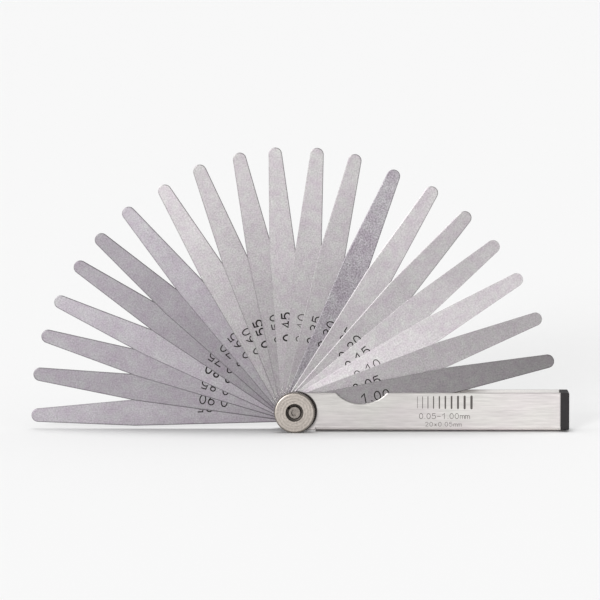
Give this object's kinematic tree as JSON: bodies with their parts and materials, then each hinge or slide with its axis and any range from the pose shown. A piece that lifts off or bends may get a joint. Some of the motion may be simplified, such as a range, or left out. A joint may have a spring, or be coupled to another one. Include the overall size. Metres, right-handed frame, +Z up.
{
  "type": "feeler gauge",
  "caption": "Fanned feeler gauge: tapered steel leaves of stepped thickness on one pivot screw, folding into an open channel case with an end cap and a round clamp nut.",
  "frame": {"origin": "middle of the opened tool's length, on the surface that it stands on, in the middle plane of the leaf stack; the pivot axis is 1.95 mm to -X and 7.75 mm up", "axes": "+X runs from the pivot along the case to its end cap, +Z is up, out of the case's open top, and the clamp nut is on the -Y side"},
  "size_m": [0.2038, 0.0195, 0.1075],
  "materials": {
    "case_steel": "brushed along its length",
    "cap_plastic": "moulded, satin",
    "screw_steel": "turned",
    "washer_black": "blackened",
    "nut_nickel": "turned, nickel plated",
    "leaf_steel": "fine satin, ground"
  },
  "bodies": {
    "case": {"case": "case_steel", "end_cap": "cap_plastic", "pivot_screw": "screw_steel", "nut_washer": "washer_black"},
    "clamp_nut": {"clamp_nut": "nut_nickel"},
    "leaf_100": {"leaf_100": "leaf_steel"},
    "leaf_005": {"leaf_005": "leaf_steel"},
    "leaf_010": {"leaf_010": "leaf_steel"},
    "leaf_015": {"leaf_015": "leaf_steel"},
    "leaf_020": {"leaf_020": "leaf_steel"},
    "leaf_025": {"leaf_025": "leaf_steel"},
    "leaf_030": {"leaf_030": "leaf_steel"},
    "leaf_035": {"leaf_035": "leaf_steel"},
    "leaf_040": {"leaf_040": "leaf_steel"},
    "leaf_045": {"leaf_045": "leaf_steel"},
    "leaf_050": {"leaf_050": "leaf_steel"},
    "leaf_055": {"leaf_055": "leaf_steel"},
    "leaf_060": {"leaf_060": "leaf_steel"},
    "leaf_065": {"leaf_065": "leaf_steel"},
    "leaf_070": {"leaf_070": "leaf_steel"},
    "leaf_075": {"leaf_075": "leaf_steel"},
    "leaf_080": {"leaf_080": "leaf_steel"},
    "leaf_085": {"leaf_085": "leaf_steel"},
    "leaf_090": {"leaf_090": "leaf_steel"},
    "leaf_095": {"leaf_095": "leaf_steel"}
  },
  "joints": [
    {"name": "leaf_100_swing", "type": "hinge", "parent": "case", "child": "leaf_100", "pos_m": [-0.00195, 0, 0.00775], "axis": [0, -1, 0], "range_deg": [-11.25, 273.75]},
    {"name": "leaf_005_swing", "type": "hinge", "parent": "case", "child": "leaf_005", "pos_m": [-0.00195, 0, 0.00775], "axis": [0, -1, 0], "range_deg": [-21, 264]},
    {"name": "leaf_010_swing", "type": "hinge", "parent": "case", "child": "leaf_010", "pos_m": [-0.00195, 0, 0.00775], "axis": [0, -1, 0], "range_deg": [-30.75, 254.25]},
    {"name": "leaf_015_swing", "type": "hinge", "parent": "case", "child": "leaf_015", "pos_m": [-0.00195, 0, 0.00775], "axis": [0, -1, 0], "range_deg": [-39.75, 245.25]},
    {"name": "leaf_020_swing", "type": "hinge", "parent": "case", "child": "leaf_020", "pos_m": [-0.00195, 0, 0.00775], "axis": [0, -1, 0], "range_deg": [-48.75, 236.25]},
    {"name": "leaf_025_swing", "type": "hinge", "parent": "case", "child": "leaf_025", "pos_m": [-0.00195, 0, 0.00775], "axis": [0, -1, 0], "range_deg": [-58, 227]},
    {"name": "leaf_030_swing", "type": "hinge", "parent": "case", "child": "leaf_030", "pos_m": [-0.00195, 0, 0.00775], "axis": [0, -1, 0], "range_deg": [-67.25, 217.75]},
    {"name": "leaf_035_swing", "type": "hinge", "parent": "case", "child": "leaf_035", "pos_m": [-0.00195, 0, 0.00775], "axis": [0, -1, 0], "range_deg": [-76.5, 208.5]},
    {"name": "leaf_040_swing", "type": "hinge", "parent": "case", "child": "leaf_040", "pos_m": [-0.00195, 0, 0.00775], "axis": [0, -1, 0], "range_deg": [-85, 200]},
    {"name": "leaf_045_swing", "type": "hinge", "parent": "case", "child": "leaf_045", "pos_m": [-0.00195, 0, 0.00775], "axis": [0, -1, 0], "range_deg": [-94.25, 190.75]},
    {"name": "leaf_050_swing", "type": "hinge", "parent": "case", "child": "leaf_050", "pos_m": [-0.00195, 0, 0.00775], "axis": [0, -1, 0], "range_deg": [-102.25, 182.75]},
    {"name": "leaf_055_swing", "type": "hinge", "parent": "case", "child": "leaf_055", "pos_m": [-0.00195, 0, 0.00775], "axis": [0, -1, 0], "range_deg": [-111.5, 173.5]},
    {"name": "leaf_060_swing", "type": "hinge", "parent": "case", "child": "leaf_060", "pos_m": [-0.00195, 0, 0.00775], "axis": [0, -1, 0], "range_deg": [-120.5, 164.5]},
    {"name": "leaf_065_swing", "type": "hinge", "parent": "case", "child": "leaf_065", "pos_m": [-0.00195, 0, 0.00775], "axis": [0, -1, 0], "range_deg": [-130, 155]},
    {"name": "leaf_070_swing", "type": "hinge", "parent": "case", "child": "leaf_070", "pos_m": [-0.00195, 0, 0.00775], "axis": [0, -1, 0], "range_deg": [-138.5, 146.5]},
    {"name": "leaf_075_swing", "type": "hinge", "parent": "case", "child": "leaf_075", "pos_m": [-0.00195, 0, 0.00775], "axis": [0, -1, 0], "range_deg": [-146.25, 138.75]},
    {"name": "leaf_080_swing", "type": "hinge", "parent": "case", "child": "leaf_080", "pos_m": [-0.00195, 0, 0.00775], "axis": [0, -1, 0], "range_deg": [-155.25, 129.75]},
    {"name": "leaf_085_swing", "type": "hinge", "parent": "case", "child": "leaf_085", "pos_m": [-0.00195, 0, 0.00775], "axis": [0, -1, 0], "range_deg": [-163.5, 121.5]},
    {"name": "leaf_090_swing", "type": "hinge", "parent": "case", "child": "leaf_090", "pos_m": [-0.00195, 0, 0.00775], "axis": [0, -1, 0], "range_deg": [-172.25, 112.75]},
    {"name": "leaf_095_swing", "type": "hinge", "parent": "case", "child": "leaf_095", "pos_m": [-0.00195, 0, 0.00775], "axis": [0, -1, 0], "range_deg": [-181.5, 103.5]},
    {"name": "clamp_nut_turn", "type": "hinge", "parent": "case", "child": "clamp_nut", "pos_m": [-0.00195, 0, 0.00775], "axis": [0, -1, 0], "range_deg": [0, 180]}
  ]
}
